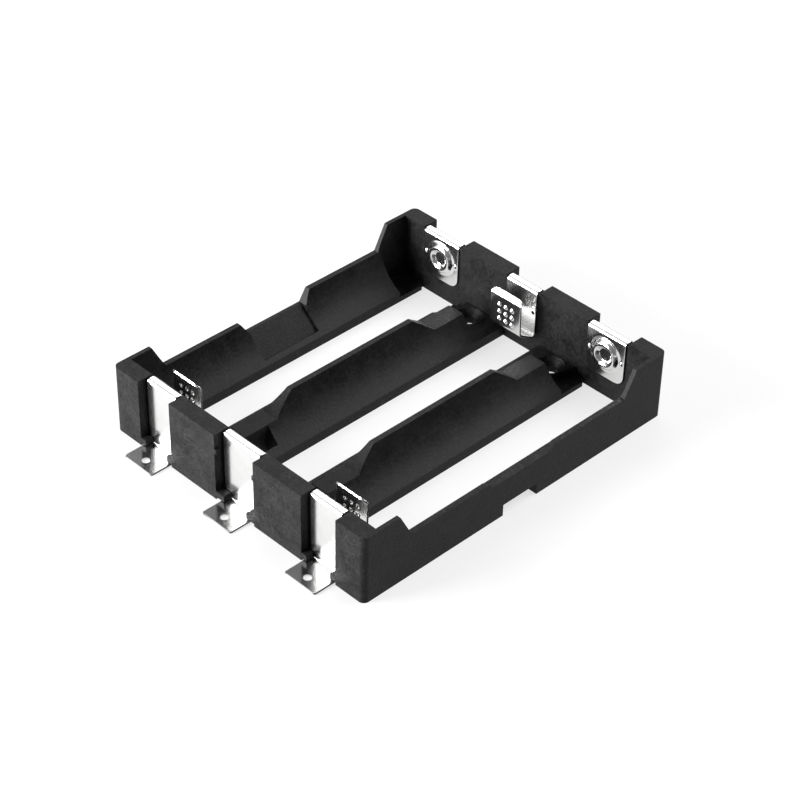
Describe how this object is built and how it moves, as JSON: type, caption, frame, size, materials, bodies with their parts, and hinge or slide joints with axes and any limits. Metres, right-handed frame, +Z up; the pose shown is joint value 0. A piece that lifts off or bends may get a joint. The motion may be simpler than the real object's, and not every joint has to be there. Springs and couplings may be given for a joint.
{
  "type": "cylindrical cell holder",
  "caption": "Low board-mounted holder with parallel cradles for cylindrical cells, open below, with folded spring and boss contacts whose feet reach out past the end walls.",
  "frame": {"origin": "centre of the base: midway between the outer side faces and between the tips of the feet, on the plane that rests on the board", "axes": "+Z up from the board, +Y along the cells toward the end with the screw holes, +X across the bays"},
  "size_m": [0.071, 0.0918, 0.0156],
  "materials": {
    "black_plastic": "fine satin, moulded",
    "bright_sheet": "bright nickel plate"
  },
  "bodies": {
    "root": {"moulded_frame": "black_plastic", "near_left_spring_contact": "bright_sheet", "near_middle_boss_contact": "bright_sheet", "near_right_spring_contact": "bright_sheet", "far_left_boss_contact": "bright_sheet", "far_middle_spring_contact": "bright_sheet", "far_right_boss_contact": "bright_sheet"}
  },
  "joints": []
}
